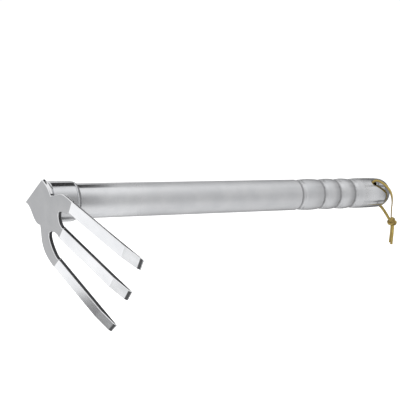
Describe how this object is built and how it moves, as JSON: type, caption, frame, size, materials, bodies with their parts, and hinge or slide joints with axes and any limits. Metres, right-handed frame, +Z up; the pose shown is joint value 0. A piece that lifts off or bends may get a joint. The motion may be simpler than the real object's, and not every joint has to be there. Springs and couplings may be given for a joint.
{
  "type": "hand cultivator",
  "caption": "All-metal hand cultivator: a folded plate of claw tines on a collared tubular handle with a domed, cross-drilled end and a knotted leather hanging thong.",
  "frame": {"origin": "centre of the hand grip, on the handle's axis, 280 mm behind the front of the head plate", "axes": "+X along the handle towards its domed end, +Z up; the tool is rolled 45 degrees about X, so its row of tines runs from low at +Y to high at -Y, and the thong hangs straight down"},
  "size_m": [0.3755, 0.1208, 0.1164],
  "materials": {
    "head_steel": "satin brushed stainless steel",
    "weld_steel": "dressed weld bead, satin",
    "collar_steel": "polished stainless steel",
    "handle_steel": "satin polished stainless steel",
    "cap_steel": "polished stainless steel",
    "thong_leather": "waxed golden-tan leather"
  },
  "bodies": {
    "tool": {"tine_plate": "head_steel", "head_weld": "weld_steel", "socket_collar": "collar_steel", "rim_weld": "weld_steel", "handle_tube": "handle_steel", "end_cap": "cap_steel"},
    "thong": {"thong_front": "thong_leather", "thong_back": "thong_leather", "thong_knot": "thong_leather", "thong_tail_left": "thong_leather", "thong_tail_right": "thong_leather"}
  },
  "joints": [
    {"name": "thong_swing", "type": "hinge", "parent": "tool", "child": "thong", "pos_m": [0.055, 0, 0], "axis": [0, -0.7071, 0.7071], "range_deg": [0, 60]}
  ]
}
